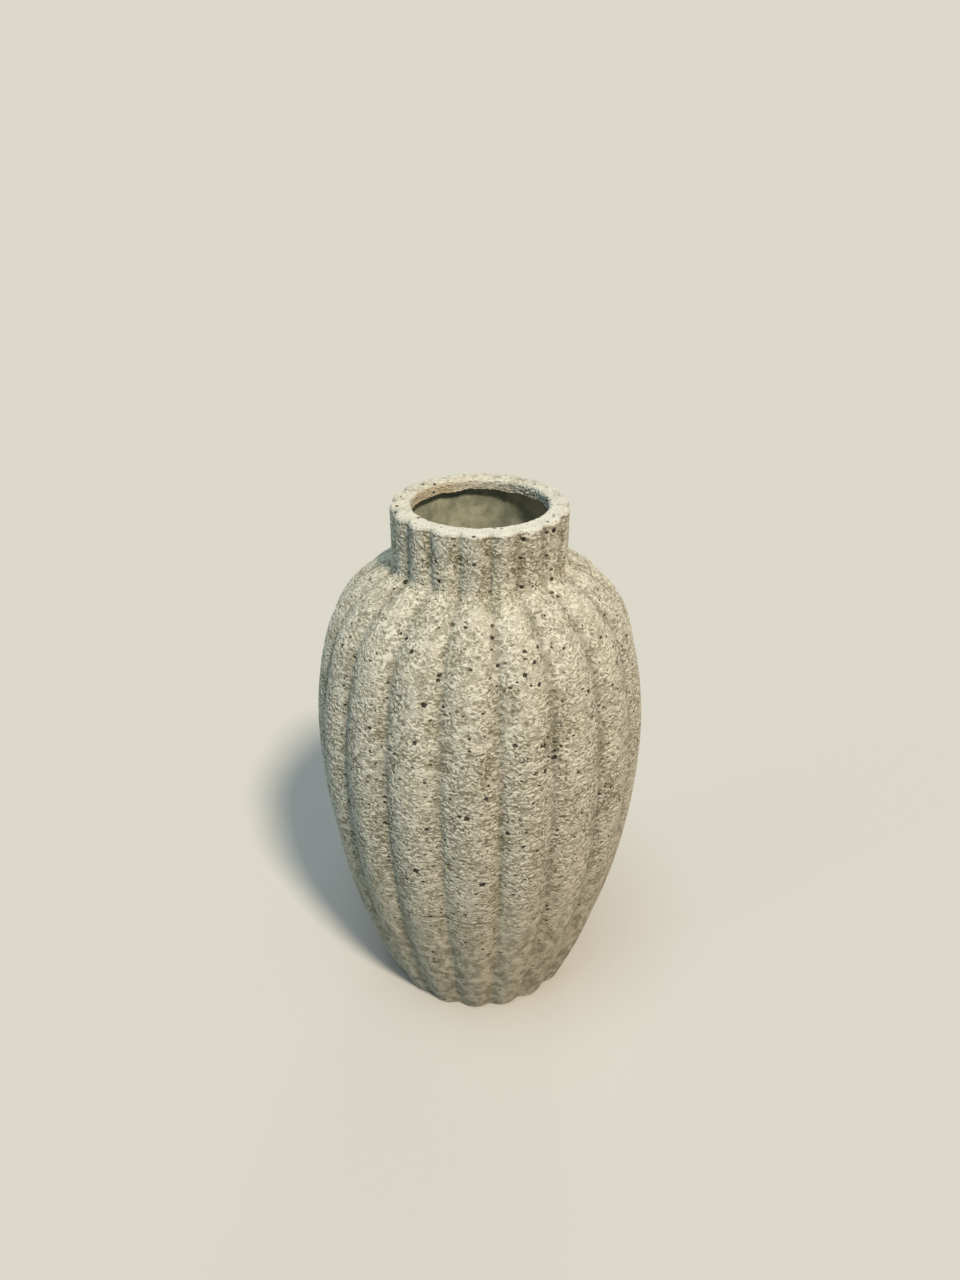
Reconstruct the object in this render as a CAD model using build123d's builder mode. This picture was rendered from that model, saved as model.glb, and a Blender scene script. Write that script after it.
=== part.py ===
"""Lobed urn vase: a cast stone shell round a thin inner pot, standing on felt pads.

Millimetres, +Z up. The origin is on the table, under the middle of the foot.
"""
import os

from build123d import *

# Shell, measured over the crests of the lobes
HEIGHT = 330.0
FOOT_DIAMETER = 125.4
FOOT_ROUND = 2.5
BELLY_DIAMETER = 198.0
BELLY_HEIGHT = 186.0
SHOULDER_DIAMETER = 179.0
SHOULDER_DROP = 76.0  # from the rim down to where the shoulder starts to turn in
NECK_DIAMETER = 100.0
NECK_LENGTH = 35.0  # from the rim down to the end of the shoulder
RIM_ROUND = 2.5

# Lobes
LOBES = 18
BELLY_GROOVE = 4.3  # depth at the belly; the grooves get shallower with the radius
FRONT = -90.0  # direction of the first crest, in degrees

# Hollow in the shell, with the stone that is left round it
FLOOR_THICKNESS = 10.0
FLOOR_WALL = 9.0
BELLY_WALL = 21.0
UPRIGHT_BELOW_BELLY = 112.0
UPRIGHT_BELOW_SHOULDER = 2.0
SHOULDER_ROOF = 7.5
NECK_WALL = 5.5

# Inner pot, and the lip that turns in over its edge
POT_WALL = 2.2
POT_CLEARANCE = 0.2
LIP_HEIGHT = 7.0
LIP_OVERHANG = 4.1
LIP_CHAMFER = 2.5

# Underside
FOOT_RING_WIDTH = 9.0
UNDERSIDE_RECESS = 1.4
FOOT_LIFT = 0.6  # gap that the pads leave under the foot ring
PAD_COUNT = 4
PAD_DIAMETER = 16.0
PAD_CIRCLE = 80.0
FIRST_PAD = 45.0  # direction of the first pad, in degrees

# Bands of the ruled skin on each arc of the crest line
LOWER_BANDS = 6
LOWER_GROWTH = 1.1  # the bands get taller up the lower body, as it leans out less
UPPER_BANDS = 2
SHOULDER_BANDS = 6
SHOULDER_GROWTH = 0.9  # the bands get shorter up the shoulder, as it turns in more
RIM_BANDS = 2

foot_radius = FOOT_DIAMETER / 2
belly_radius = BELLY_DIAMETER / 2
neck_radius = NECK_DIAMETER / 2
shoulder_height = HEIGHT - SHOULDER_DROP
shoulder_end = HEIGHT - NECK_LENGTH
floor_top = FOOT_LIFT + FLOOR_THICKNESS
lip_underside = HEIGHT - LIP_HEIGHT
mouth_radius = neck_radius - NECK_WALL - POT_CLEARANCE - POT_WALL - LIP_OVERHANG
pad_thickness = FOOT_LIFT + UNDERSIDE_RECESS

# Crest line from the foot to the rim: X is the radius and Y the height
with BuildLine() as crest_line:
    foot = Line((foot_radius - FOOT_ROUND, FOOT_LIFT), (foot_radius, FOOT_LIFT + FOOT_ROUND))
    lower = TangentArc((belly_radius, BELLY_HEIGHT), foot @ 1, tangent=(0, -1))
    upper = TangentArc(lower @ 0, (SHOULDER_DIAMETER / 2, shoulder_height), tangent=(0, 1))
    shoulder = TangentArc(upper @ 1, (neck_radius, shoulder_end), tangent=upper % 1)
    neck = Line(shoulder @ 1, (neck_radius, HEIGHT - RIM_ROUND))
    rim = TangentArc(neck @ 1, (neck_radius - RIM_ROUND, HEIGHT), tangent=(0, 1))


def band_ends(bands, growth=1.0):
    """How far along an arc each of its bands ends, from 0 to 1."""
    return [((band + 1) / bands) ** growth for band in range(bands)]


def lobed_section(station):
    """A ring of arcs, one to a lobe, that meet in the grooves."""
    crest_radius = station.X
    groove_radius = crest_radius * (1 - BELLY_GROOVE / belly_radius)
    half_lobe = 180 / LOBES
    with BuildSketch(Plane.XY.offset(station.Y)) as section:
        with BuildLine():
            for lobe in range(LOBES):
                crest = FRONT + 2 * half_lobe * lobe
                ThreePointArc(
                    Vector(groove_radius, 0).rotate(Axis.Z, crest - half_lobe),
                    Vector(crest_radius, 0).rotate(Axis.Z, crest),
                    Vector(groove_radius, 0).rotate(Axis.Z, crest + half_lobe),
                )
        make_face()
    return section.sketch


def pot_profile(inset, floor, top):
    """Half profile of the hollow, moved in by inset: cone, upright wall, shoulder and throat."""
    wall_radius = belly_radius - BELLY_WALL - inset
    throat_radius = neck_radius - NECK_WALL - inset
    with BuildSketch(Plane.XZ) as profile:
        with BuildLine():
            Polyline(
                (0, floor),
                (foot_radius - FLOOR_WALL - inset, floor),
                (wall_radius, BELLY_HEIGHT - UPRIGHT_BELOW_BELLY),
                (wall_radius, shoulder_height - UPRIGHT_BELOW_SHOULDER),
                (throat_radius, shoulder_end - SHOULDER_ROOF),
                (throat_radius, top),
                (0, top),
                close=True,
            )
        make_face()
    return profile.sketch


stations = [
    foot @ 0,
    foot @ 1,
    *(lower @ (1 - end) for end in band_ends(LOWER_BANDS, LOWER_GROWTH)),
    *(upper @ end for end in band_ends(UPPER_BANDS)),
    *(shoulder @ end for end in band_ends(SHOULDER_BANDS, SHOULDER_GROWTH)),
    neck @ 1,
    *(rim @ end for end in band_ends(RIM_BANDS)),
]

os.makedirs("parts", exist_ok=True)

# Stone shell: a lobed skin, hollowed for the pot and opened at the mouth
with BuildPart() as stone_shell:
    add([lobed_section(station) for station in stations])
    loft(ruled=True)
    add(pot_profile(0, floor_top, lip_underside))
    revolve(axis=Axis.Z, mode=Mode.SUBTRACT)
    with BuildSketch(Plane.XY.offset(HEIGHT)):
        Circle(mouth_radius)
    extrude(amount=-LIP_HEIGHT, mode=Mode.SUBTRACT)
    rim_face = stone_shell.faces().sort_by(Axis.Z)[-1]
    chamfer(rim_face.inner_wires()[0].edges(), length=LIP_CHAMFER)
    with BuildSketch(Plane.XY.offset(FOOT_LIFT)):
        Circle(foot_radius - FOOT_RING_WIDTH)
    extrude(amount=UNDERSIDE_RECESS, mode=Mode.SUBTRACT)
stone_shell.part.label = "stone_shell"
export_step(stone_shell.part, "parts/stone_shell.step")

# Inner pot: it stands on the shell's floor, with its edge under the lip
with BuildPart() as inner_pot:
    add(pot_profile(POT_CLEARANCE, floor_top, lip_underside - POT_CLEARANCE))
    revolve(axis=Axis.Z)
    add(pot_profile(POT_CLEARANCE + POT_WALL, floor_top + POT_WALL, HEIGHT))
    revolve(axis=Axis.Z, mode=Mode.SUBTRACT)
inner_pot.part.label = "inner_pot"
export_step(inner_pot.part, "parts/inner_pot.step")

# Felt pads, glued into the recess of the underside
for number, spot in enumerate(PolarLocations(PAD_CIRCLE / 2, PAD_COUNT, FIRST_PAD), start=1):
    with BuildPart() as felt_pad:
        with BuildSketch(Plane.XY):
            with Locations(spot):
                Circle(PAD_DIAMETER / 2)
        extrude(amount=pad_thickness)
    felt_pad.part.label = f"felt_pad_{number}"
    export_step(felt_pad.part, f"parts/felt_pad_{number}.step")
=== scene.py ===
"""Looks of the lobed urn vase: cast stone with a curling relief, a smooth inner pot and felt pads.

Metres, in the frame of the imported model: +Z up, the floor at zero, the photographed side towards -Y.
"""
import math
from collections import namedtuple

import bpy
import numpy as np
from mathutils import Euler, Matrix, Vector


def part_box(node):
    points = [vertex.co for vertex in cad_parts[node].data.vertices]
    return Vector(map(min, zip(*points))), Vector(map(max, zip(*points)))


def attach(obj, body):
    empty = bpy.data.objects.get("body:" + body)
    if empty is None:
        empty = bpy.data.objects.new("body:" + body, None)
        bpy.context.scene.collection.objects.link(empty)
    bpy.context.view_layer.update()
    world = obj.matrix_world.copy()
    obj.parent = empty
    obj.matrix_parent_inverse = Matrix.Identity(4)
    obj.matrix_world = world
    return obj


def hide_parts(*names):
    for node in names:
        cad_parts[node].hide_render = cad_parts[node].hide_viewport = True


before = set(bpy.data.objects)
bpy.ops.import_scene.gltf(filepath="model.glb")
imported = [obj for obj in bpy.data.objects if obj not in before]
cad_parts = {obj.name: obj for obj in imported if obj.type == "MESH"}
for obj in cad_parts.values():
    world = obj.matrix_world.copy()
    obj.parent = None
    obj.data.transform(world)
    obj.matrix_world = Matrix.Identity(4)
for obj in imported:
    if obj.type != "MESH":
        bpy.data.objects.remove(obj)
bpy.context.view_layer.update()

# Unit of length, the body that carries the pieces, and the angle of the photographed side
MM = 0.001
BODY = "root"
FRONT = -math.pi / 2

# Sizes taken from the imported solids
shell_low, shell_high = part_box("stone_shell")
pot_low, pot_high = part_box("inner_pot")
RIM_Z = shell_high.z
FOOT_Z = shell_low.z
BELLY_RADIUS = -shell_low.y
POT_FLOOR_Z = pot_low.z
POT_TOP_Z = pot_high.z
POT_RADIUS = pot_high.x

# Crest line of the lobes
FOOT_RADIUS = 62.7 * MM
FOOT_ROUND = 2.5 * MM
BELLY_Z = 186.0 * MM
SHOULDER_RADIUS = 89.5 * MM
SHOULDER_Z = 254.0 * MM
NECK_RADIUS = 50.0 * MM
NECK_Z = 295.0 * MM
NECK_COVE = 3.0 * MM
RIM_ROUND = 2.5 * MM

# Mouth, hollow and underside
MOUTH_RADIUS = 38.0 * MM
LIP_ROUND = 2.5 * MM
LIP_HEIGHT = 7.0 * MM
THROAT_RADIUS = 44.5 * MM
THROAT_Z = 287.5 * MM
UPRIGHT_LOW_Z = 74.0 * MM
UPRIGHT_HIGH_Z = 252.0 * MM
HOLLOW_FLOOR_RADIUS = 53.7 * MM
POT_CLEARANCE = 0.2 * MM
POT_WALL = 2.2 * MM
RECESS_RADIUS = 53.7 * MM
RECESS_Z = 2.0 * MM

# Camera, from the photograph's vanishing points and then a fit to the vase's outline
PHOTO_WIDTH, PHOTO_HEIGHT = 960, 1280
FOCAL_PIXELS = 945
SENSOR = 36.0
CAMERA_DISTANCE = 493.8 * MM
CAMERA_Z = 511.5 * MM
CAMERA_TILT = math.radians(61.45)
CAMERA_TURN = math.radians(3.0)
CAMERA_X = CAMERA_DISTANCE * math.sin(CAMERA_TURN)
CAMERA_Y = -CAMERA_DISTANCE * math.cos(CAMERA_TURN)
CAMERA_PLACE = (CAMERA_X, CAMERA_Y, CAMERA_Z)
CAMERA_ANGLES = (CAMERA_TILT, 0.0, CAMERA_TURN)

# Middle level of a noise, and a shift that gives another pattern
NOISE_MIDDLE = 0.5
ELSEWHERE = (0.37, 0.61, 0.83)


class Nodes:
    """Short calls for adding nodes to one tree."""

    def __init__(self, tree):
        self.tree = tree

    def add(self, kind, inputs=None, **settings):
        node = self.tree.nodes.new(kind)
        for name, value in settings.items():
            setattr(node, name, value)
        for socket, value in (inputs or {}).items():
            self.feed(node.inputs[socket], value)
        return node

    def feed(self, socket, value):
        if isinstance(value, bpy.types.NodeSocket):
            self.tree.links.new(value, socket)
        else:
            socket.default_value = value

    def attribute(self, name, output="Fac"):
        """A value kept in the mesh, read in a shader."""
        return self.add("ShaderNodeAttribute", attribute_name=name).outputs[output]

    def stored(self, name):
        """A value kept in the mesh, read in a tree that moves the mesh."""
        return self.add("GeometryNodeInputNamedAttribute", {"Name": name}).outputs[0]

    def math(self, operation, first, second=0.0):
        return self.add("ShaderNodeMath", {0: first, 1: second}, operation=operation).outputs[0]

    def plus(self, first, second):
        return self.math("ADD", first, second)

    def minus(self, first, second):
        return self.math("SUBTRACT", first, second)

    def times(self, first, second):
        return self.math("MULTIPLY", first, second)

    def larger(self, first, second):
        return self.math("MAXIMUM", first, second)

    def vector(self, operation, first, second):
        return self.add("ShaderNodeVectorMath", {0: first, 1: second}, operation=operation).outputs[0]

    def part(self, vector, index):
        return self.add("ShaderNodeSeparateXYZ", {0: vector}).outputs[index]

    def squash(self, place, factor):
        """Place with its height multiplied: what is drawn there comes out flatter for a factor over 1."""
        return self.vector("MULTIPLY", place, (1.0, 1.0, factor))

    def noise(self, place, spacing, detail=0.0, roughness=0.5, output="Fac"):
        inputs = {"Vector": place, "Scale": 1 / spacing, "Detail": detail, "Roughness": roughness}
        return self.add("ShaderNodeTexNoise", inputs).outputs[output]

    def step(self, value, start, end, low=0.0, high=1.0):
        """Smooth step of value from low at start to high at end."""
        inputs = {"Value": value, "From Min": start, "From Max": end, "To Min": low, "To Max": high}
        return self.add("ShaderNodeMapRange", inputs, interpolation_type="SMOOTHSTEP").outputs[0]

    def mix(self, share, first, second):
        node = self.add("ShaderNodeMix", data_type="RGBA")
        self.feed(node.inputs["Factor"], share)
        self.feed(node.inputs[6], first)
        self.feed(node.inputs[7], second)
        return node.outputs[2]

    def cover(self, under, coat, mask):
        """Lays a coat, which is a colour and its strength, over another colour where the mask is 1."""
        colour, strength = coat
        return self.mix(self.times(mask, strength), under, colour)

    def bump(self, height, distance, strength):
        inputs = {"Height": height, "Distance": distance, "Strength": strength}
        return self.add("ShaderNodeBump", inputs).outputs[0]


def srgb(red, green, blue):
    """Colour for a socket from the 0 to 255 values of a picture."""
    values = [value / 255 for value in (red, green, blue)]
    return [v / 12.92 if v <= 0.04045 else ((v + 0.055) / 1.055) ** 2.4 for v in values] + [1.0]


def new_material(name):
    """A material, the short calls for its nodes and the inputs of its shader."""
    material = bpy.data.materials.new(name)
    material.use_nodes = True
    return material, Nodes(material.node_tree), material.node_tree.nodes["Principled BSDF"].inputs


# Profiles are lists of (radius, height), sampled at about the given step


def line(start, end, step):
    """Points of a straight stretch, without its start."""
    count = max(1, round(math.dist(start, end) / step))
    shares = np.arange(1, count + 1)[:, None] / count
    return [tuple(point) for point in np.array(start) + shares * np.subtract(end, start)]


def lines(corners, step):
    """Points of straight stretches from corner to corner, without the first corner."""
    return [point for start, end in zip(corners, corners[1:]) for point in line(start, end, step)]


def tangent_arc(start, tangent, end, step):
    """Points of the arc that leaves start along tangent and reaches end, and its last direction."""
    start, end = np.array(start), np.array(end)
    normal = np.array((-tangent[1], tangent[0]))
    chord = end - start
    radius = chord @ chord / (2 * chord @ normal)
    centre = start + radius * normal
    first = math.atan2(*(start - centre)[::-1])
    turn = math.atan2(*(end - centre)[::-1]) - first
    turn = (turn + math.pi) % (2 * math.pi) - math.pi
    count = max(2, round(abs(turn * radius) / step))
    angles = first + turn * np.arange(1, count + 1) / count
    points = centre + abs(radius) * np.stack((np.cos(angles), np.sin(angles)), axis=1)
    side = math.copysign(1.0, turn)
    return [tuple(p) for p in points], (-side * math.sin(angles[-1]), side * math.cos(angles[-1]))


# Grids hold one row for each profile point and one column for each angle round the axis


def smooth(values, start, end):
    """Smooth step from 0 at start to 1 at end."""
    share = np.clip((values - start) / (end - start), 0, 1)
    return share * share * (3 - 2 * share)


def grid_angles(columns):
    return np.linspace(0, 2 * math.pi, columns, endpoint=False)


def grid_points(radii, heights):
    angles = grid_angles(radii.shape[1])
    return np.stack((radii * np.cos(angles), radii * np.sin(angles), heights), axis=2)


def grid_mesh(name, radii, heights, widths=None):
    """Piece from a grid whose first and last rows are single points on the axis.

    widths gives each row its share of the height of the texture map; by default they are alike.
    """
    rows, columns = radii.shape
    points = grid_points(radii, heights)
    ring = points[1:-1].reshape(-1, 3)
    ends = np.array([points[0].mean(axis=0), points[-1].mean(axis=0)])
    index = np.arange((rows - 2) * columns).reshape(rows - 2, columns)
    right = np.roll(index, -1, axis=1)
    quads = np.stack((index[:-1], right[:-1], right[1:], index[1:]), axis=2).reshape(-1, 4)
    bottom = np.stack((np.full(columns, len(ring)), right[0], index[0]), axis=1)
    top = np.stack((np.full(columns, len(ring) + 1), index[-1], right[-1]), axis=1)
    mesh = bpy.data.meshes.new(name)
    faces = quads.tolist() + bottom.tolist() + top.tolist()
    mesh.from_pydata(np.vstack((ring, ends)).tolist(), [], faces)
    mesh.polygons.foreach_set("use_smooth", [True] * len(mesh.polygons))
    map_grid(mesh, columns, np.ones(rows) if widths is None else widths)
    piece = bpy.data.objects.new(name, mesh)
    bpy.context.scene.collection.objects.link(piece)
    return piece


def map_grid(mesh, columns, widths):
    """Texture map of a grid mesh: once round from left to right, along the profile upwards."""
    up = np.cumsum(widths)
    up = (up - up[0]) / (up[-1] - up[0])
    start, stop = np.arange(columns) / columns, np.arange(1, columns + 1) / columns
    left, low = np.meshgrid(start, up[1:-2])
    right, high = np.meshgrid(stop, up[2:-1])
    corners = [(left, low), (right, low), (right, high), (left, high)]
    quads = np.stack([np.stack(corner, axis=2) for corner in corners], axis=2).reshape(-1, 2)
    tip = (start + stop) / 2
    bottom = np.stack((tip, stop, start), axis=1).ravel()
    top = np.stack((tip, start, stop), axis=1).ravel()
    bottom_up = np.tile((up[0], up[1], up[1]), columns)
    top_up = np.tile((up[-1], up[-2], up[-2]), columns)
    ends = np.vstack((np.stack((bottom, bottom_up), axis=1), np.stack((top, top_up), axis=1)))
    layer = mesh.uv_layers.new(name="OFBake")
    layer.uv.foreach_set("vector", np.vstack((quads, ends)).astype(np.float32).ravel())


def round_piece(name, points, columns):
    """Piece turned from a profile that starts and ends on the axis."""
    profile = np.array(points)
    radii = np.repeat(profile[:, :1], columns, axis=1)
    heights = np.repeat(profile[:, 1:], columns, axis=1)
    return grid_mesh(name, radii, heights)


def store(piece, name, values):
    """Keeps one number per point of a grid mesh; the two end points get the mean of their row."""
    numbers = np.concatenate((values[1:-1].ravel(), [values[0].mean(), values[-1].mean()]))
    attribute = piece.data.attributes.new(name, "FLOAT", "POINT")
    attribute.data.foreach_set("value", numbers.astype(np.float32))


# Form of the stone shell

SKIN_STEP = 0.65 * MM
HIDDEN_STEP = 12.0 * MM
COLUMNS_PER_LOBE = 52
LOBES = 18
BELLY_GROOVE = 4.3 * MM
GROOVE_SHARE = BELLY_GROOVE / BELLY_RADIUS
NECK_GROOVE_GAIN = 1.25

# The grooves are soft at the foot and grow crisp below the belly
SOFT_GROOVE_Z, CRISP_GROOVE_Z = 10.0 * MM, 110.0 * MM
SOFT_GROOVE = math.radians(2.0)
CRISP_GROOVE = math.radians(0.5)

# The lobes on the right are shifted a little; degrees from the front where that starts and ends
LOBE_DRIFT = math.radians(2.0)
DRIFT_START, DRIFT_END = (10, 28), (60, 88)

# The lower edge of the lip wanders: a sum of waves, with so many of each round the mouth
LIP_WAVE = 0.8 * MM
LIP_WAVE_COUNTS = (5, 9, 14)

# Rows of the texture map: hidden ones are narrow, and each has some width
HIDDEN_MAP_SHARE = 0.1
LEAST_MAP_WIDTH = 0.001 * MM

# Rows of the shell's grid: radius and height of each, and whether it is on the underside, skin or rim
Rows = namedtuple("Rows", "radius height under skin rim")


def skin_profile():
    """Crest line from the edge of the underside to the lower edge of the lip."""
    foot = (FOOT_RADIUS - FOOT_ROUND, FOOT_Z)
    points, _ = tangent_arc(foot, (1, 0), (FOOT_RADIUS, FOOT_Z + FOOT_ROUND), SKIN_STEP / 2)
    lower, _ = tangent_arc((BELLY_RADIUS, BELLY_Z), (0, -1), points[-1], SKIN_STEP)
    points += lower[-2::-1] + [(BELLY_RADIUS, BELLY_Z)]
    upper, heading = tangent_arc(points[-1], (0, 1), (SHOULDER_RADIUS, SHOULDER_Z), SKIN_STEP)
    cove_foot = (NECK_RADIUS + NECK_COVE, NECK_Z - NECK_COVE / 2)
    shoulder, _ = tangent_arc(upper[-1], heading, cove_foot, SKIN_STEP)
    cove, _ = tangent_arc((NECK_RADIUS, NECK_Z + NECK_COVE), (0, -1), cove_foot, SKIN_STEP / 2)
    points += upper + shoulder + cove[-2::-1] + [(NECK_RADIUS, NECK_Z + NECK_COVE)]
    points += line(points[-1], (NECK_RADIUS, RIM_Z - RIM_ROUND), SKIN_STEP)
    rim, _ = tangent_arc(points[-1], (0, 1), (NECK_RADIUS - RIM_ROUND, RIM_Z), SKIN_STEP / 2)
    points += rim
    points += line(points[-1], (MOUTH_RADIUS + LIP_ROUND, RIM_Z), SKIN_STEP / 2)
    lip, _ = tangent_arc(points[-1], (-1, 0), (MOUTH_RADIUS, RIM_Z - LIP_ROUND), SKIN_STEP / 2)
    points += lip
    points += line(points[-1], (MOUTH_RADIUS, RIM_Z - LIP_HEIGHT), SKIN_STEP / 2)
    return [foot] + points


def hidden_profile():
    """From the lower edge of the lip down the hollow to the middle of its floor."""
    corners = [
        (MOUTH_RADIUS, RIM_Z - LIP_HEIGHT),
        (THROAT_RADIUS, RIM_Z - LIP_HEIGHT),
        (THROAT_RADIUS, THROAT_Z),
        (POT_RADIUS + POT_CLEARANCE, UPRIGHT_HIGH_Z),
        (POT_RADIUS + POT_CLEARANCE, UPRIGHT_LOW_Z),
        (HOLLOW_FLOOR_RADIUS, POT_FLOOR_Z),
        (0.0, POT_FLOOR_Z),
    ]
    return lines(corners, HIDDEN_STEP)


def underside_profile():
    """From the middle of the recess to the inner edge of the foot's rounding."""
    corners = [(0.0, RECESS_Z), (RECESS_RADIUS, RECESS_Z), (RECESS_RADIUS, FOOT_Z)]
    ring = line(corners[-1], (FOOT_RADIUS - FOOT_ROUND, FOOT_Z), SKIN_STEP * 2)
    return corners[:1] + lines(corners, HIDDEN_STEP) + ring[:-1]


def lobe_shape(angles, softness):
    """Depth below the crest line at each angle as a share of the radius, and as a share of a groove."""
    half = math.pi / LOBES
    turned = np.degrees(angles - FRONT) % 360
    drift = LOBE_DRIFT * (smooth(turned, *DRIFT_START) - smooth(turned, *DRIFT_END))
    offset = (angles + drift - FRONT + half) % (2 * half) - half
    # The angle to the nearest groove is rounded off near zero, which softens the groove's bottom
    to_groove = np.hypot(half - np.abs(offset), softness) - softness
    offset = half * (1 - to_groove / (math.hypot(half, softness) - softness))
    # With the crest's radius as 1, a lobe is an arc about a centre on the line from the axis to its crest
    groove = 1 - GROOVE_SHARE
    centre = (1 - groove**2) / (2 * (1 - groove * math.cos(half)))
    share = centre * np.cos(offset) + np.sqrt((1 - centre) ** 2 - (centre * np.sin(offset)) ** 2)
    return 1 - share, (1 - share) / GROOVE_SHARE


def shell_rows():
    """The shell's profile, from under the foot to the hollow's floor, and which rows lie where."""
    under, skin, hidden = underside_profile(), skin_profile(), hidden_profile()
    profile = np.array(under + skin + hidden)
    radius, height = profile[:, :1], profile[:, 1:]
    row = np.arange(len(profile))[:, None]
    on_under = row < len(under)
    on_skin = ~on_under & (row < len(under) + len(skin))
    on_rim = on_skin & (height > RIM_Z - LIP_HEIGHT - POT_CLEARANCE) & (radius < NECK_RADIUS)
    return Rows(radius, height, on_under, on_skin, on_rim)


def lobed_radii(rows, angles):
    """Radii of the lobed shell, and how deep in a groove each point lies, from 0 to 1."""
    # The lobes fade out across the rim and the foot ring, towards the round mouth and recess
    rim_fade = (rows.radius - MOUTH_RADIUS) / (NECK_RADIUS - RIM_ROUND - MOUTH_RADIUS)
    foot_fade = (rows.radius - RECESS_RADIUS) / (FOOT_RADIUS - FOOT_ROUND - RECESS_RADIUS)
    lobed = np.where(rows.rim, rim_fade, np.where(rows.under, foot_fade, rows.skin)).clip(0, 1)
    gain = 1 + (NECK_GROOVE_GAIN - 1) * smooth(rows.height, SHOULDER_Z, NECK_Z)
    crisp = smooth(rows.height, SOFT_GROOVE_Z, CRISP_GROOVE_Z)
    shapes = zip(lobe_shape(angles, SOFT_GROOVE), lobe_shape(angles, CRISP_GROOVE))
    depth, groove = (soft + crisp * (sharp - soft) for soft, sharp in shapes)
    return rows.radius * (1 - lobed * gain * depth), lobed * groove


def wavy_heights(rows, angles):
    """Heights of the shell, where the lip wanders more and more towards its lower edge."""
    on_lip = rows.rim & (rows.radius < NECK_RADIUS - RIM_ROUND)
    share = on_lip * smooth(-rows.height, LIP_ROUND - RIM_Z, LIP_HEIGHT - RIM_Z)
    waves = [np.sin(count * angles + count**2) for count in LIP_WAVE_COUNTS]
    return rows.height + share * LIP_WAVE * sum(waves) / len(waves)


def map_widths(rows):
    """Widths of the rows in the texture map: their lengths along the profile, less where hidden."""
    across = np.diff(rows.radius[:, 0], prepend=rows.radius[0, 0])
    up = np.diff(rows.height[:, 0], prepend=rows.height[0, 0])
    return np.hypot(across, up) * np.where(rows.skin[:, 0], 1.0, HIDDEN_MAP_SHARE) + LEAST_MAP_WIDTH


# Relief of the stone

BIT_HEIGHT = 0.46 * MM
CREVICE_DEPTH = 0.2 * MM
GRAIN_DEPTH = 0.45 * MM
HAIRLINE_DEPTH = 0.4 * MM
BIT_SPACING = 1.85 * MM
CURL_SPACING = 3.0 * MM
BREAK_SPACING = 2.8 * MM
BEND_SPACING = 3.2 * MM
BEND_REACH = 3.6 * MM
CROWD_SPACING = 8.0 * MM
PATCH_SPACING = 7.0 * MM

# Levels of the noises at which each form starts and is full
CURL_LEVELS = (0.10, 0.03)
BREAK_LEVELS = (0.40, 0.52)
BIT_LEVELS = (0.52, 0.63)
CREVICE_LEVELS = (0.40, 0.31)
PATCH_LEVELS = (0.54, 0.62)
GRAIN_LEVELS = (-0.02, 0.07)
SPECK_LEVELS = (-0.12, 0.12)

# How strongly one form acts on another
CROWDING = 0.35
BIT_SHARE = 0.85
PATCH_SHARE = 0.8
CURL_GUARD = 0.3
PATCH_CREVICES = 0.35
GROOVE_GRAINS = 0.06

# The pattern is flatter than wide above one height, and smooth patches grow between two others
BIT_SQUASH = 1.4
BIT_EASE_Z = 160.0 * MM
FEW_PATCHES_Z, MANY_PATCHES_Z = 150.0 * MM, 40.0 * MM
PATCH_GROWTH = 0.09

# Grains: spacing of their cells, chance above which a cell holds one, largest radius in spacings
GRAIN_SPACING, GRAIN_CHANCE, GRAIN_SIZE = 3.4 * MM, 0.84, 0.38
SMALLEST_GRAIN = 1 / 3
GRAIN_SQUASH = 1.5
GRAIN_WOBBLE = 0.9 * MM
WOBBLE_SPACING = 1.35 * MM

# The largest dark specks, as read in the photograph: pixels across, pixels down, half width in mm
SPECKS = [
    (341, 646, 1.2), (389, 562, 1.2), (405, 582, 1.3), (438, 582, 1.2), (523, 539, 1.3), (555, 531, 1.8),
    (522, 587, 1.3), (552, 579, 1.4), (406, 638, 1.3), (411, 652, 1.4), (440, 675, 1.3), (438, 681, 1.1),
    (493, 638, 1.2), (535, 662, 1.2), (525, 675, 1.4), (540, 684, 1.3), (589, 691, 1.3), (424, 706, 1.6),
    (369, 728, 1.2), (414, 743, 1.4), (515, 746, 1.4), (545, 746, 1.3), (554, 757, 1.7), (546, 771, 1.3),
    (486, 800, 1.4), (459, 818, 1.3), (466, 820, 1.7), (385, 823, 1.3), (427, 830, 1.4), (507, 834, 1.5),
    (523, 848, 1.2), (416, 872, 1.9), (482, 885, 2.0), (547, 910, 1.1), (433, 952, 1.2),
]
SPECK_SQUASH = 1.15
SPECK_WOBBLE = 0.8
SPECK_WOBBLE_SPACING = 0.9 * MM

# The mould seam on the front and the crack across the rim, with half widths of their edge and core
WANDER_SPACING = 5.0 * MM
SEAM_Z = 105.0 * MM
SEAM_LEFT, SEAM_RIGHT = -34.0 * MM, 12.0 * MM
SEAM_FADE = 4.0 * MM
SEAM_WANDER = 3.0 * MM
SEAM_WIDTHS = (0.8 * MM, 0.35 * MM)
SEAM_SHARE = 0.85
CRACK_Y = -2.2 * MM
CRACK_WANDER = 4.0 * MM
CRACK_WIDTHS = (0.6 * MM, 0.25 * MM)


def ridge_lines(nodes, place, spacing, levels):
    """Lines where a noise passes its middle: 1 along a line and 0 away from it."""
    level = nodes.minus(nodes.noise(place, spacing), NOISE_MIDDLE)
    return nodes.step(nodes.math("ABSOLUTE", level), *levels)


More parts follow.
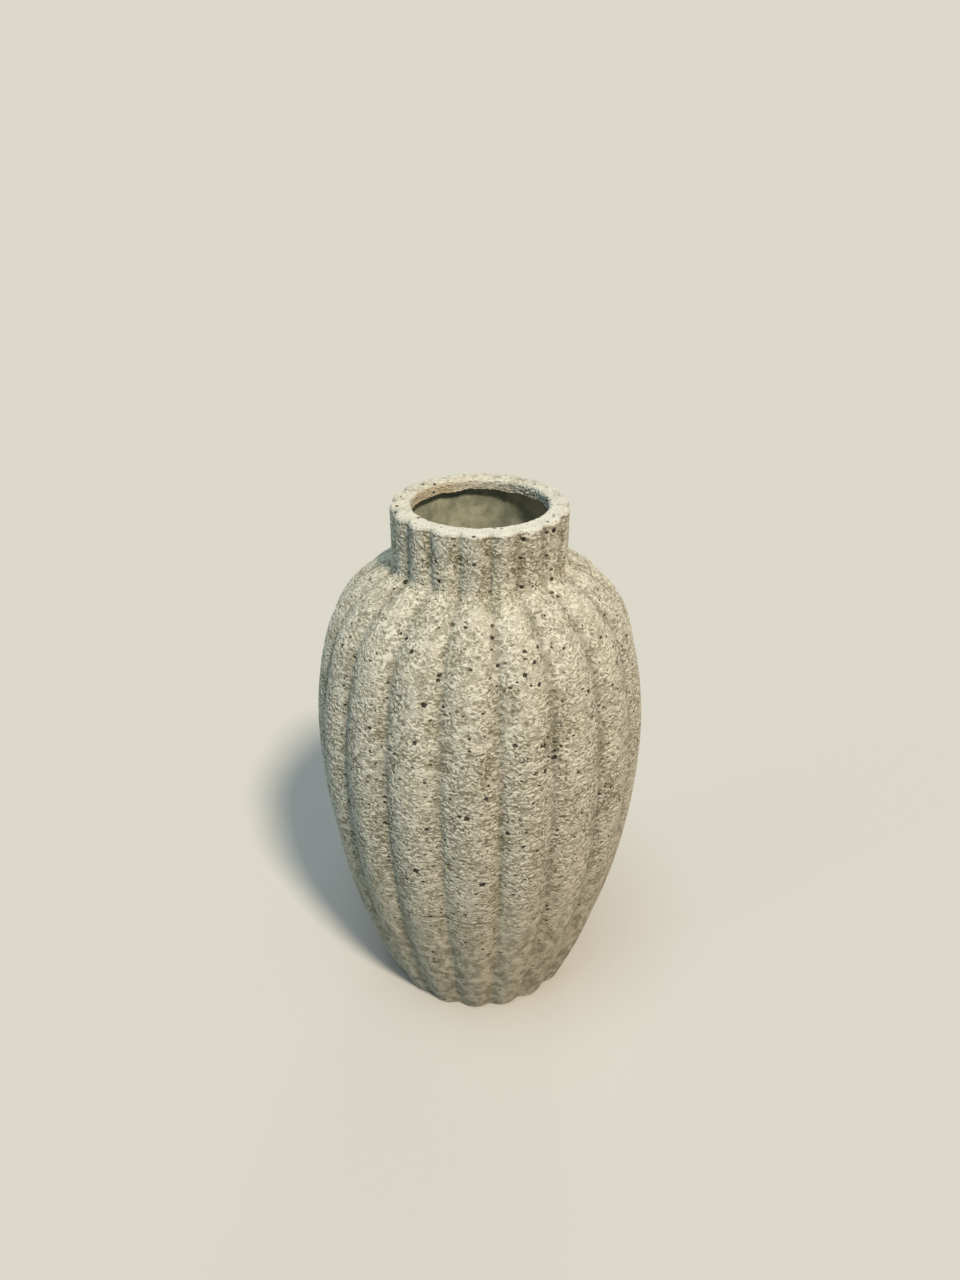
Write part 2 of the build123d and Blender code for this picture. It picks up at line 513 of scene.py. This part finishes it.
def grain_mask(nodes, place, spacing, least_chance, widest):
    """Grains in the stone: 1 in a grain. The spacing sets the cells, of which few hold a grain."""
    wobble = nodes.noise(place, WOBBLE_SPACING, output="Color")
    moved = nodes.vector("ADD", place, nodes.vector("MULTIPLY", wobble, (GRAIN_WOBBLE,) * 3))
    cells = nodes.add("ShaderNodeTexVoronoi", {"Vector": moved, "Scale": 1 / spacing})
    chance = nodes.part(cells.outputs["Color"], 0)
    size = nodes.step(chance, least_chance, 1.0, SMALLEST_GRAIN * widest, widest)
    size = nodes.times(size, nodes.math("GREATER_THAN", chance, least_chance))
    return nodes.step(nodes.minus(size, cells.outputs["Distance"]), *GRAIN_LEVELS)


def stone_fields(nodes, place, groove, speck):
    """Raised bits, crevices, smooth patches and dark grains of the stone, each from 0 to 1."""
    height = nodes.part(place, 2)
    # The squash eases off below BIT_EASE_Z, so that the bits grow round towards the foot
    below = nodes.larger(nodes.minus(BIT_EASE_Z, height), 0.0)
    ease = nodes.times(nodes.math("POWER", below, 2.0), (BIT_SQUASH - 1) / (2 * BIT_EASE_Z))
    lift = nodes.add("ShaderNodeCombineXYZ", {"Z": ease}).outputs[0]
    squashed = nodes.vector("ADD", nodes.squash(place, BIT_SQUASH), lift)
    bend = nodes.noise(squashed, BEND_SPACING, output="Color")
    bend = nodes.vector("SUBTRACT", bend, (NOISE_MIDDLE,) * 3)
    bent = nodes.vector("ADD", squashed, nodes.vector("MULTIPLY", bend, (BEND_REACH,) * 3))
    # Curls run along the middle level of one noise and are broken up by another
    curls = ridge_lines(nodes, bent, CURL_SPACING, CURL_LEVELS)
    breaks = nodes.noise(nodes.vector("ADD", bent, ELSEWHERE), BREAK_SPACING)
    curls = nodes.times(curls, nodes.step(breaks, *BREAK_LEVELS))
    # Bits are the high places of a third noise, and crevices are its low places away from curls
    level = nodes.noise(bent, BIT_SPACING, detail=1.0, roughness=0.4)
    crowd = nodes.minus(nodes.noise(squashed, CROWD_SPACING, detail=1.0), NOISE_MIDDLE)
    bits = nodes.step(nodes.plus(level, nodes.times(crowd, CROWDING)), *BIT_LEVELS)
    raised = nodes.larger(curls, nodes.times(bits, BIT_SHARE))
    crevices = nodes.step(nodes.plus(level, nodes.times(curls, CURL_GUARD)), *CREVICE_LEVELS)
    growth = nodes.step(height, FEW_PATCHES_Z, MANY_PATCHES_Z, 0.0, PATCH_GROWTH)
    patches = nodes.plus(nodes.noise(squashed, PATCH_SPACING, detail=1.0), growth)
    patches = nodes.step(patches, *PATCH_LEVELS)
    crevices = nodes.times(crevices, nodes.step(patches, 0.0, 1.0, 1.0, PATCH_CREVICES))
    # Grains are a little more common in the grooves; the listed specks join them
    least_chance = nodes.minus(GRAIN_CHANCE, nodes.times(groove, GROOVE_GRAINS))
    flatter = nodes.squash(place, GRAIN_SQUASH)
    grains = grain_mask(nodes, flatter, GRAIN_SPACING, least_chance, GRAIN_SIZE)
    wobble = nodes.minus(nodes.noise(place, SPECK_WOBBLE_SPACING), NOISE_MIDDLE)
    speck = nodes.plus(speck, nodes.times(wobble, SPECK_WOBBLE))
    grains = nodes.larger(grains, nodes.step(speck, *SPECK_LEVELS))
    return raised, crevices, patches, grains


def hairlines(nodes, place):
    """The mould seam low on the front and the crack across the rim: 1 along a line."""
    across, along, height = (nodes.part(place, index) for index in range(3))
    wander = nodes.minus(nodes.noise(place, WANDER_SPACING, detail=2.0), NOISE_MIDDLE)
    seam = nodes.plus(nodes.minus(height, SEAM_Z), nodes.times(wander, SEAM_WANDER))
    seam = nodes.step(nodes.math("ABSOLUTE", seam), *SEAM_WIDTHS)
    for end, side in ((SEAM_LEFT, 1), (SEAM_RIGHT, -1)):
        seam = nodes.times(seam, nodes.step(across, end, end + side * SEAM_FADE))
    seam = nodes.times(seam, nodes.math("LESS_THAN", along, 0.0))
    crack = nodes.plus(nodes.minus(along, CRACK_Y), nodes.times(wander, CRACK_WANDER))
    crack = nodes.step(nodes.math("ABSOLUTE", crack), *CRACK_WIDTHS)
    crack = nodes.times(crack, nodes.math("GREATER_THAN", across, MOUTH_RADIUS))
    crack = nodes.times(crack, nodes.math("GREATER_THAN", height, RIM_Z - 2 * RIM_ROUND))
    return nodes.larger(nodes.times(seam, SEAM_SHARE), crack)


def photo_pixels(points):
    """Where points of the vase show in the photograph: pixels across and pixels down."""
    axes = np.array(Euler(CAMERA_ANGLES).to_matrix())
    right, up, back = np.moveaxis((points - np.array(CAMERA_PLACE)) @ axes, -1, 0)
    return PHOTO_WIDTH / 2 - FOCAL_PIXELS * right / back, PHOTO_HEIGHT / 2 + FOCAL_PIXELS * up / back


def speck_field(points, in_view):
    """Nearness of the largest specks: 1 in the middle of one, 0 at its edge and less outside."""
    across, down = photo_pixels(points)
    nearness = np.full(across.shape, -1.0)
    for speck_across, speck_down, half_width in SPECKS:
        miss = np.where(in_view, np.hypot(across - speck_across, down - speck_down), np.inf)
        middle = points[np.unravel_index(miss.argmin(), miss.shape)]
        apart = np.linalg.norm((points - middle) * (1.0, 1.0, SPECK_SQUASH), axis=2)
        nearness = np.maximum(nearness, 1 - apart / (half_width * MM))
    return nearness


def cut_relief(piece):
    """Sinks the stone between the ridges and keeps where each point was before."""
    tree = bpy.data.node_groups.new("stone_relief", "GeometryNodeTree")
    for way in ("INPUT", "OUTPUT"):
        tree.interface.new_socket("Geometry", in_out=way, socket_type="NodeSocketGeometry")
    nodes = Nodes(tree)
    place = nodes.add("GeometryNodeInputPosition").outputs[0]
    normal = nodes.add("GeometryNodeInputNormal").outputs[0]
    groove, speck = nodes.stored("groove"), nodes.stored("speck")
    raised, crevices, patches, grains = stone_fields(nodes, place, groove, speck)
    level = nodes.larger(raised, nodes.times(patches, PATCH_SHARE))
    depth = nodes.times(nodes.minus(1.0, level), BIT_HEIGHT)
    depth = nodes.plus(depth, nodes.times(crevices, CREVICE_DEPTH))
    depth = nodes.plus(depth, nodes.times(grains, GRAIN_DEPTH))
    depth = nodes.times(depth, nodes.stored("rough"))
    depth = nodes.plus(depth, nodes.times(hairlines(nodes, place), HAIRLINE_DEPTH))
    inwards = nodes.add("ShaderNodeVectorMath", {0: normal}, operation="SCALE")
    nodes.feed(inwards.inputs["Scale"], nodes.times(depth, -1.0))
    start = nodes.add("NodeGroupInput").outputs[0]
    kept = nodes.add("GeometryNodeStoreNamedAttribute", data_type="FLOAT_VECTOR", domain="POINT")
    for socket, value in {"Geometry": start, "Name": "rest", "Value": place}.items():
        nodes.feed(kept.inputs[socket], value)
    inputs = {"Geometry": kept.outputs[0], "Offset": inwards.outputs[0]}
    moved = nodes.add("GeometryNodeSetPosition", inputs)
    nodes.add("NodeGroupOutput", {0: moved.outputs[0]})
    piece.modifiers.new("relief", "NODES").node_group = tree
    shaped = piece.evaluated_get(bpy.context.evaluated_depsgraph_get())
    mesh = bpy.data.meshes.new_from_object(shaped)
    piece.modifiers.clear()
    piece.data = mesh


# Colours of the stone

DULL_GROUND, PALE_GROUND = srgb(150, 144, 127), srgb(174, 166, 147)
OLIVE = srgb(130, 123, 96)
WORN_HOLLOW, WORN_HEIGHT = srgb(136, 127, 104), srgb(218, 209, 186)
DARK_GRAIN, PALE_GRAIN = srgb(34, 28, 18), srgb(98, 88, 68)

# Coats: a colour and how strongly it covers what lies under it
PATCH_COAT = (srgb(194, 187, 170), 0.75)
RAISED_COAT = (srgb(226, 220, 201), 1.0)
CREVICE_COAT = (srgb(92, 85, 68), 0.9)
OLIVE_COAT = (OLIVE, 0.35)
DUST_COAT = (srgb(190, 184, 168), 0.14)
RUBBED_COAT = (srgb(216, 210, 192), 1.0)
# Painted shade in the grooves, together with their greyer tone
GROOVE_PAINTED_SHADE_COAT = (srgb(118, 115, 105), 0.45)
# The rim's paler tone together with painted light, laid by the rim mask
RIM_TONE_AND_LIGHT_COAT = (srgb(222, 220, 209), 0.75)
STAIN_COAT = (srgb(196, 176, 142), 0.6)
# A dark speckle on the right of the lip's inner face
DARK_SPECKLE_COAT = (srgb(104, 106, 100), 1.0)
FLECK_COAT = (srgb(108, 98, 78), 0.6)
HAIRLINE_COAT = (srgb(74, 62, 46), 0.8)
WORN_STRENGTH = 0.6
GRAIN_STRENGTH = 0.92

# Noises of the colours: spacings, and levels at which each mark starts and is full
CLOUD_SPACING, CLOUD_LEVELS = 30.0 * MM, (0.35, 0.65)
OLIVE_SPACING, OLIVE_LEVELS = 12.0 * MM, (0.52, 0.70)
WORN_SPACING, WORN_LEVELS = 5.0 * MM, (0.37, 0.63)
DARK_SPECKLE_SPACING, DARK_SPECKLE_LEVELS = 1.3 * MM, (0.50, 0.56)
SHADE_SPACING, SHADE_LEVELS = 5.0 * MM, (0.48, 0.70)
PORE_SPACING = 0.6 * MM
FLECK_SPACING, FLECK_CHANCE, FLECK_SIZE = 2.2 * MM, 0.74, 0.27
WORN_SQUASH = 0.75
OLIVE_MOST = 0.75
# How far the olive blotches lean into the grooves, which paints shade there
GROOVE_OLIVE_SHADE = 0.08

# Heights between which dust gathers on the shoulder and the stone wears away towards the foot
DUST_START_Z, DUST_FULL_Z = 225.0 * MM, 265.0 * MM
DUST_FADE_Z, DUST_END_Z = 290.0 * MM, 298.0 * MM
UNWORN_Z, WORN_Z = 165.0 * MM, 55.0 * MM

# Crests end at a share of the groove's depth, and are rubbed more at the rim than on the body
CREST_END = 0.5
RUBBED_BODY, RUBBED_RIM = 0.10, 0.32
# How quickly the painted shade fades from a groove's bottom towards its crests
GROOVE_SHADE_FALLOFF = 4.0

# Surface of the stone: the relief is less clear where it is smooth, and raised bits shine a little
LEAST_CLEAR = 0.4
GROUND_ROUGHNESS, RAISED_ROUGHNESS = 0.92, 0.76
STONE_SPECULAR = 0.25
STONE_BUMP, STONE_BUMP_STRENGTH = 0.4 * MM, 0.6
PORE_BUMP, CREVICE_BUMP = 0.4, 0.6

# Near a listed speck, down to this nearness, grains are less pale
SPECK_REACH = -0.5


def bare_stone(nodes, place, groove, raised, crevices, patches):
    """Colour of the stone: clouded ground with olive blotches that lean into the grooves as painted
    shade, smooth patches, bits and crevices.
    """
    cloud = nodes.step(nodes.noise(place, CLOUD_SPACING, detail=2.0), *CLOUD_LEVELS)
    ground = nodes.mix(cloud, DULL_GROUND, PALE_GROUND)
    olive = nodes.noise(nodes.vector("ADD", place, ELSEWHERE), OLIVE_SPACING, detail=2.0)
    # Leaning the olive blotches into the grooves paints shade there
    olive = nodes.plus(olive, nodes.times(groove, GROOVE_OLIVE_SHADE))
    olive = nodes.step(olive, *OLIVE_LEVELS, 0.0, OLIVE_MOST)
    colour = nodes.mix(olive, ground, OLIVE)
    colour = nodes.cover(colour, PATCH_COAT, patches)
    colour = nodes.cover(colour, RAISED_COAT, raised)
    colour = nodes.cover(colour, CREVICE_COAT, crevices)
    return nodes.cover(colour, OLIVE_COAT, olive)


def weathered_stone(nodes, place, groove, colour):
    """Adds the dusty shoulder, rubbed crests, grooves greyed partly in tone and partly with painted
    shade, worn foot and the pale rim with painted light.
    """
    height = nodes.part(place, 2)
    dusty = nodes.step(height, DUST_START_Z, DUST_FULL_Z)
    dusty = nodes.times(dusty, nodes.step(height, DUST_END_Z, DUST_FADE_Z))
    colour = nodes.cover(colour, DUST_COAT, dusty)
    rubbed = nodes.step(height, NECK_Z, RIM_Z, RUBBED_BODY, RUBBED_RIM)
    rubbed = nodes.times(nodes.step(groove, CREST_END, 0.0), rubbed)
    colour = nodes.cover(colour, RUBBED_COAT, rubbed)
    # Painted shade in the grooves, together with their greyer tone
    colour = nodes.cover(colour, GROOVE_PAINTED_SHADE_COAT, nodes.math("POWER", groove, GROOVE_SHADE_FALLOFF))
    taller = nodes.squash(place, WORN_SQUASH)
    blotch = nodes.step(nodes.noise(taller, WORN_SPACING, detail=3.0, roughness=0.6), *WORN_LEVELS)
    worn_coat = (nodes.mix(blotch, WORN_HOLLOW, WORN_HEIGHT), WORN_STRENGTH)
    colour = nodes.cover(colour, worn_coat, nodes.step(height, UNWORN_Z, WORN_Z))
    # Pale rim: its own tone, with painted light strongest a little to the right of the front
    return nodes.cover(colour, RIM_TONE_AND_LIGHT_COAT, nodes.attribute("rim"))


def marked_stone(nodes, place, speck, grains, colour):
    """Adds the stain and a dark speckle on the lip, flecks, hairlines and dark grains."""
    colour = nodes.cover(colour, STAIN_COAT, nodes.attribute("stain"))
    # A dark speckle on the right of the lip's inner face
    dark_speckle = nodes.step(nodes.noise(place, DARK_SPECKLE_SPACING, detail=1.0), *DARK_SPECKLE_LEVELS)
    colour = nodes.cover(colour, DARK_SPECKLE_COAT, nodes.times(nodes.attribute("dark_speckle"), dark_speckle))
    flecks = grain_mask(nodes, place, FLECK_SPACING, FLECK_CHANCE, FLECK_SIZE)
    colour = nodes.cover(colour, FLECK_COAT, flecks)
    colour = nodes.cover(colour, HAIRLINE_COAT, hairlines(nodes, place))
    shade = nodes.step(nodes.noise(place, SHADE_SPACING), *SHADE_LEVELS)
    shade = nodes.times(shade, nodes.step(speck, 0.0, SPECK_REACH))
    grain_coat = (nodes.mix(shade, DARK_GRAIN, PALE_GRAIN), GRAIN_STRENGTH)
    return nodes.cover(colour, grain_coat, grains)


def stone_material():
    material, nodes, shader = new_material("cast_stone")
    place = nodes.attribute("rest", "Vector")
    groove, rough, speck = (nodes.attribute(name) for name in ("groove", "rough", "speck"))
    raised, crevices, patches, grains = stone_fields(nodes, place, groove, speck)
    clear = nodes.step(rough, 0.0, 1.0, LEAST_CLEAR, 1.0)
    raised, crevices = nodes.times(raised, clear), nodes.times(crevices, clear)
    colour = bare_stone(nodes, place, groove, raised, crevices, patches)
    colour = weathered_stone(nodes, place, groove, colour)
    colour = marked_stone(nodes, place, speck, grains, colour)
    nodes.feed(shader["Base Color"], colour)
    roughness = nodes.step(raised, 0.0, 1.0, GROUND_ROUGHNESS, RAISED_ROUGHNESS)
    nodes.feed(shader["Roughness"], roughness)
    nodes.feed(shader["Specular IOR Level"], STONE_SPECULAR)
    pores = nodes.noise(place, PORE_SPACING, detail=2.0)
    level = nodes.plus(raised, nodes.times(pores, PORE_BUMP))
    level = nodes.minus(level, nodes.times(crevices, CREVICE_BUMP))
    strength = nodes.times(rough, STONE_BUMP_STRENGTH)
    nodes.feed(shader["Normal"], nodes.bump(level, STONE_BUMP, strength))
    return material


# The stone shell as a piece: its relief is low at the foot and on the rim

LOW_RELIEF_Z, FULL_RELIEF_Z = 20.0 * MM, 160.0 * MM
FOOT_RELIEF = 0.2
RIM_RELIEF = 0.65

# The rim's top has its own paler tone, and painted light makes it palest a little to the right of the
# front
RIM_PALENESS, RIM_PAINTED_LIGHT_SWING = 0.6, 0.4
PAINTED_LIGHT_TURN = math.radians(20)

# Marks on the lip's inner face, in degrees from +X: where each starts, is full, fades and ends
LIP_MARKS = {"stain": (100, 130, 165, 185), "dark_speckle": (2, 14, 52, 66)}


def relief_share(rows):
    """How strongly the relief shows on each row, from 0 to 1."""
    share = FOOT_RELIEF + (1 - FOOT_RELIEF) * smooth(rows.height, LOW_RELIEF_Z, FULL_RELIEF_Z)
    return rows.skin * share * np.where(rows.rim, RIM_RELIEF, 1.0)


def rim_tone_and_painted_light(rows, angles):
    """How pale the top of the rim is, from 0 to 1: its own paler tone, with painted light that is
    strongest a little to the right of the front.
    """
    top = rows.rim * smooth(rows.height, RIM_Z - LIP_ROUND - RIM_ROUND, RIM_Z)
    return top * (RIM_PALENESS + RIM_PAINTED_LIGHT_SWING * np.cos(angles - FRONT - PAINTED_LIGHT_TURN))


def lip_mark(rows, angles, start, full, fade, end):
    """A mark on the lip's inner face, between angles in degrees: 1 where it is full."""
    inner_face = rows.rim & (rows.radius < MOUTH_RADIUS + LIP_ROUND)
    inner_face = inner_face * smooth(-rows.height, -RIM_Z, LIP_ROUND - RIM_Z)
    turned = np.degrees(angles)
    return inner_face * (smooth(turned, start, full) - smooth(turned, fade, end))


def make_shell():
    """The lobed stone shell, with its relief cut into the mesh."""
    rows = shell_rows()
    angles = grid_angles(LOBES * COLUMNS_PER_LOBE)
    radii, groove = lobed_radii(rows, angles)
    heights = wavy_heights(rows, angles)
    shell = grid_mesh("cast_stone_shell", radii, heights, map_widths(rows))
    store(shell, "groove", groove)
    store(shell, "rough", np.broadcast_to(relief_share(rows), radii.shape))
    # The rim mask carries the rim's paler tone and painted light
    store(shell, "rim", rim_tone_and_painted_light(rows, angles))
    for name, degrees in LIP_MARKS.items():
        store(shell, name, lip_mark(rows, angles, *degrees))
    in_view = rows.skin & ~rows.rim & (np.cos(angles - FRONT) > 0)
    store(shell, "speck", speck_field(grid_points(radii, heights), in_view))
    cut_relief(shell)
    return shell


# Inner pot

POT_STEP = 3.0 * MM
POT_COLUMNS = 144
DARK_GLAZE, PALE_GLAZE = srgb(140, 145, 125), srgb(186, 183, 158)
SPOT_COAT = (srgb(58, 56, 44), 0.8)
SPOT_SPACING, SPOT_CHANCE, SPOT_SIZE = 9.0 * MM, 0.86, 0.16
GLAZE_SPACING, GLAZE_LEVELS = 11.0 * MM, (0.36, 0.64)
SATIN_LEVELS, SATIN_ROUGHNESS = (0.3, 0.7), (0.42, 0.58)
RIPPLE_SPACING = 6.0 * MM
RIPPLE_BUMP, RIPPLE_STRENGTH = 0.3 * MM, 0.4


def make_pot():
    """The thin inner pot: a round wall, open at the top, under the lip."""
    outer = [
        (0.0, POT_FLOOR_Z),
        (HOLLOW_FLOOR_RADIUS - POT_CLEARANCE, POT_FLOOR_Z),
        (POT_RADIUS, UPRIGHT_LOW_Z),
        (POT_RADIUS, UPRIGHT_HIGH_Z),
        (THROAT_RADIUS - POT_CLEARANCE, THROAT_Z),
        (THROAT_RADIUS - POT_CLEARANCE, POT_TOP_Z),
    ]
    inner = [(max(0.0, r - POT_WALL), max(z, POT_FLOOR_Z + POT_WALL)) for r, z in outer[::-1]]
    return round_piece("glazed_pot", outer[:1] + lines(outer + inner, POT_STEP), POT_COLUMNS)


def pot_material():
    material, nodes, shader = new_material("pot_ceramic")
    place = nodes.add("ShaderNodeNewGeometry").outputs["Position"]
    cloud = nodes.noise(place, GLAZE_SPACING, detail=5.0, roughness=0.6)
    colour = nodes.mix(nodes.step(cloud, *GLAZE_LEVELS), DARK_GLAZE, PALE_GLAZE)
    spots = grain_mask(nodes, place, SPOT_SPACING, SPOT_CHANCE, SPOT_SIZE)
    nodes.feed(shader["Base Color"], nodes.cover(colour, SPOT_COAT, spots))
    nodes.feed(shader["Roughness"], nodes.step(cloud, *SATIN_LEVELS, *SATIN_ROUGHNESS))
    ripple = nodes.noise(place, RIPPLE_SPACING, detail=2.0)
    nodes.feed(shader["Normal"], nodes.bump(ripple, RIPPLE_BUMP, RIPPLE_STRENGTH))
    return material


# Felt pads

PADS = 4
PAD_COLUMNS = 48
PAD_EDGE = 0.5 * MM
PAD_FLAT_EDGE = 1.5 * MM
DARK_FELT, PALE_FELT = srgb(88, 78, 66), srgb(132, 120, 104)
FIBRE_SPACING, FIBRE_LEVELS = 0.4 * MM, (0.3, 0.7)
FIBRE_BUMP, FIBRE_STRENGTH = 0.3 * MM, 0.8
FELT_ROUGHNESS = 0.97
FELT_SHEEN = 0.4

# The middle of a quarter round lies this share of its radius in from the corner, both ways
ROUND_MIDDLE = 0.3


def make_pad(node):
    """A pressed felt disc with a soft edge."""
    low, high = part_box(node)
    middle = (low + high) / 2
    radius = (high.x - low.x) / 2
    half = [
        (0.0, 0.0),
        (radius - PAD_FLAT_EDGE, 0.0),
        (radius - PAD_EDGE, 0.0),
        (radius - ROUND_MIDDLE * PAD_EDGE, ROUND_MIDDLE * PAD_EDGE),
        (radius, PAD_EDGE),
    ]
    mirrored = [(r, high.z - z) for r, z in half[::-1]]
    pad = round_piece(node + "_disc", half + mirrored, PAD_COLUMNS)
    pad.data.transform(Matrix.Translation((middle.x, middle.y, 0.0)))
    return pad


def felt_material():
    material, nodes, shader = new_material("felt")
    place = nodes.add("ShaderNodeNewGeometry").outputs["Position"]
    fibres = nodes.noise(place, FIBRE_SPACING, detail=3.0, roughness=0.7)
    nodes.feed(shader["Base Color"], nodes.mix(nodes.step(fibres, *FIBRE_LEVELS), DARK_FELT, PALE_FELT))
    nodes.feed(shader["Roughness"], FELT_ROUGHNESS)
    nodes.feed(shader["Sheen Weight"], FELT_SHEEN)
    nodes.feed(shader["Normal"], nodes.bump(fibres, FIBRE_BUMP, FIBRE_STRENGTH))
    return material


# Studio

STUDIO_RADIUS = 30.0
STUDIO_SIDES = 96
FLOOR_SEEN, FLOOR_BOUNCE = srgb(206, 203, 197), srgb(114, 108, 99)
BACKDROP = srgb(220, 216, 202)
SKY_COLOUR, SKY_STRENGTH = (0.92, 0.97, 1.0, 1.0), 0.2


def seen_share(nodes):
    """1 for rays that show a surface to the camera, straight or in gloss and glass, and 0 for others."""
    path = nodes.add("ShaderNodeLightPath")
    seen = nodes.larger(path.outputs["Is Camera Ray"], path.outputs["Is Glossy Ray"])
    return nodes.larger(seen, path.outputs["Is Transmission Ray"])


def make_floor():
    """A wide, matt, pale floor that throws back less light than it seems to."""
    bpy.ops.mesh.primitive_circle_add(vertices=STUDIO_SIDES, radius=STUDIO_RADIUS, fill_type="NGON")
    floor = bpy.context.object
    floor.name = "floor"
    material, nodes, shader = new_material("floor")
    nodes.feed(shader["Base Color"], nodes.mix(seen_share(nodes), FLOOR_BOUNCE, FLOOR_SEEN))
    nodes.feed(shader["Roughness"], 1.0)
    nodes.feed(shader["Specular IOR Level"], 0.0)
    floor.data.materials.append(material)


def add_sun(name, azimuth, elevation, spread, strength, colour):
    """Distant lamp: azimuth is turned from the front towards +X, all angles are in degrees."""
    data = bpy.data.lights.new(name, "SUN")
    data.angle = math.radians(spread)
    data.energy = strength
    data.color = colour
    lamp = bpy.data.objects.new(name, data)
    bpy.context.scene.collection.objects.link(lamp)
    turn, rise = math.radians(azimuth), math.radians(elevation)
    place = (math.sin(turn) * math.cos(rise), -math.cos(turn) * math.cos(rise), math.sin(rise))
    lamp.rotation_euler = Vector(place).to_track_quat("Z", "Y").to_euler()


def make_world():
    """Dim even light, and a backdrop in the far floor's colour where the camera looks past the floor."""
    world = bpy.data.worlds.new("studio")
    bpy.context.scene.world = world
    world.use_nodes = True
    nodes = Nodes(world.node_tree)
    background = world.node_tree.nodes["Background"].inputs
    seen = seen_share(nodes)
    nodes.feed(background["Color"], nodes.mix(seen, SKY_COLOUR, BACKDROP))
    nodes.feed(background["Strength"], nodes.step(seen, 0.0, 1.0, SKY_STRENGTH, 1.0))


def make_camera():
    camera = bpy.data.objects.new("camera", bpy.data.cameras.new("camera"))
    bpy.context.scene.collection.objects.link(camera)
    camera.data.sensor_width = SENSOR
    camera.data.lens = SENSOR * FOCAL_PIXELS / PHOTO_HEIGHT
    camera.location = CAMERA_PLACE
    camera.rotation_euler = CAMERA_ANGLES
    bpy.context.scene.camera = camera


def dress(piece, material, node):
    """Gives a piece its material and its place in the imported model."""
    piece.data.materials.clear()
    piece.data.materials.append(material)
    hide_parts(node)
    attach(piece, BODY)


dress(make_shell(), stone_material(), "stone_shell")
dress(make_pot(), pot_material(), "inner_pot")
felt = felt_material()
for number in range(1, PADS + 1):
    pad = make_pad(f"felt_pad_{number}")
    dress(pad, felt, f"felt_pad_{number}")

make_floor()
add_sun("warm_sun", azimuth=31, elevation=51, spread=8, strength=3.05, colour=(1.0, 0.89, 0.73))
add_sun("cool_sun", azimuth=-60, elevation=4, spread=7, strength=0.62, colour=(0.48, 0.82, 1.0))
add_sun("back_sun", azimuth=172, elevation=14, spread=26, strength=0.45, colour=(1.0, 0.97, 0.92))
add_sun("top_sun", azimuth=-20, elevation=78, spread=30, strength=0.84, colour=(0.68, 0.9, 1.0))
make_world()
make_camera()
bpy.context.scene.view_settings.view_transform = "Standard"
